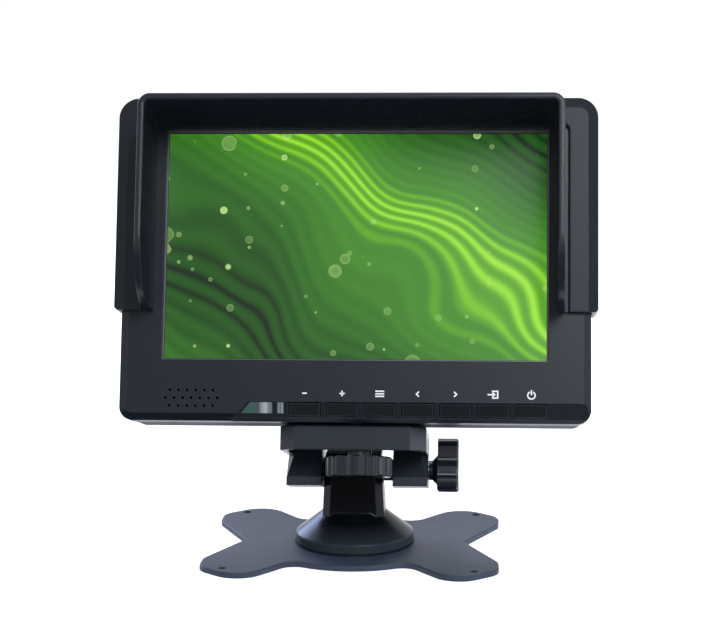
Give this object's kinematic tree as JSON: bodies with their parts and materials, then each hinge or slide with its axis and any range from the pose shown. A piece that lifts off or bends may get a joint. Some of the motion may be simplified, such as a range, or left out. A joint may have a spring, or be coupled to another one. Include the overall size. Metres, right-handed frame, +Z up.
{
  "type": "camera field monitor with sun hood",
  "caption": "Flat camera field monitor with a slip-on sun hood and a front key strip, on a desk stand whose column swivels and whose clamped head tilts and pans.",
  "frame": {"origin": "on the table, on the swivel axis of the stand, at the centre of the base plate's fixing holes", "axes": "+X to the viewer's right, -Y towards the viewer, +Z up"},
  "size_m": [0.1928, 0.1073, 0.1901],
  "materials": {
    "plate_paint": "satin powder coat",
    "rubber_black": "fine matt",
    "stand_black": "satin moulded",
    "grip_black": "satin moulded",
    "zinc_steel": "zinc plated",
    "housing_black": "fine spark-eroded grain",
    "hood_black": "fine grain",
    "button_black": "smooth satin",
    "lcd_steel": "rolled sheet",
    "screen_glass": "lit anti-glare film",
    "diffuser_white": "film",
    "board_green": "solder mask",
    "switch_steel": "stamped",
    "speaker_steel": "painted basket",
    "infrared_window": "polished tinted acrylic",
    "receiver_epoxy": "moulded epoxy",
    "light_pipe": "polished clear acrylic",
    "led_epoxy": "moulded epoxy",
    "insert_brass": "turned",
    "socket_steel": "nickel plated",
    "socket_black": "moulded"
  },
  "bodies": {
    "base": {"base_plate": "plate_paint", "base_pads": "rubber_black", "bearing_disc": "stand_black"},
    "column": {"column": "stand_black", "swivel_screw": "zinc_steel"},
    "head": {"tilt_head": "stand_black", "head_mat": "rubber_black", "tilt_bolt": "zinc_steel", "tilt_spacer": "stand_black"},
    "knob": {"tilt_knob": "grip_black"},
    "wheel": {"thumbwheel": "grip_black", "tripod_stud": "zinc_steel"},
    "monitor": {"front_bezel": "housing_black", "rear_cover": "housing_black", "lcd_frame": "lcd_steel", "lcd_panel": "screen_glass", "backlight_module": "diffuser_white", "main_board": "board_green", "key_board": "board_green", "tact_switches": "switch_steel", "speaker": "speaker_steel", "remote_window": "infrared_window", "remote_receiver": "receiver_epoxy", "status_light_pipe": "light_pipe", "status_led": "led_epoxy", "tripod_insert": "insert_brass", "housing_screws": "zinc_steel", "hdmi_socket": "socket_steel", "av_socket": "socket_black", "earphone_jack": "socket_black", "dc_jack": "socket_black"},
    "hood": {"hood_frame": "hood_black", "hood_canopy": "hood_black"},
    "key_minus": {"button_minus": "button_black"},
    "key_plus": {"button_plus": "button_black"},
    "key_menu": {"button_menu": "button_black"},
    "key_left": {"button_left": "button_black"},
    "key_right": {"button_right": "button_black"},
    "key_input": {"button_input": "button_black"},
    "key_power": {"button_power": "button_black"}
  },
  "joints": [
    {"name": "column_swivel", "type": "hinge", "parent": "base", "child": "column", "pos_m": [0, 0, 0.004], "axis": [0, 0, 1], "continuous": true},
    {"name": "head_tilt", "type": "hinge", "parent": "column", "child": "head", "pos_m": [0, 0, 0.0324], "axis": [-1, 0, 0], "range_deg": [-25, 33]},
    {"name": "monitor_pan", "type": "hinge", "parent": "head", "child": "monitor", "pos_m": [0.0036, -0.02527, 0.04003], "axis": [0, 0.289, 0.9573], "continuous": true},
    {"name": "knob_turn", "type": "hinge", "parent": "head", "child": "knob", "pos_m": [0.0366, 0, 0.0324], "axis": [1, 0, 0], "continuous": true},
    {"name": "wheel_turn", "type": "hinge", "parent": "head", "child": "wheel", "pos_m": [0.0036, -0.02527, 0.04003], "axis": [0, 0.289, 0.9573], "continuous": true},
    {"name": "hood_slide", "type": "slide", "parent": "monitor", "child": "hood", "axis": [0, 0.289, 0.9573], "range_m": [0, 0.06]},
    {"name": "press_minus", "type": "slide", "parent": "monitor", "child": "key_minus", "axis": [0, 0.9573, -0.289], "range_m": [0, 0.0004], "stiffness_N_per_m": 800},
    {"name": "press_plus", "type": "slide", "parent": "monitor", "child": "key_plus", "axis": [0, 0.9573, -0.289], "range_m": [0, 0.0004], "stiffness_N_per_m": 800},
    {"name": "press_menu", "type": "slide", "parent": "monitor", "child": "key_menu", "axis": [0, 0.9573, -0.289], "range_m": [0, 0.0004], "stiffness_N_per_m": 800},
    {"name": "press_left", "type": "slide", "parent": "monitor", "child": "key_left", "axis": [0, 0.9573, -0.289], "range_m": [0, 0.0004], "stiffness_N_per_m": 800},
    {"name": "press_right", "type": "slide", "parent": "monitor", "child": "key_right", "axis": [0, 0.9573, -0.289], "range_m": [0, 0.0004], "stiffness_N_per_m": 800},
    {"name": "press_input", "type": "slide", "parent": "monitor", "child": "key_input", "axis": [0, 0.9573, -0.289], "range_m": [0, 0.0004], "stiffness_N_per_m": 800},
    {"name": "press_power", "type": "slide", "parent": "monitor", "child": "key_power", "axis": [0, 0.9573, -0.289], "range_m": [0, 0.0004], "stiffness_N_per_m": 800}
  ]
}
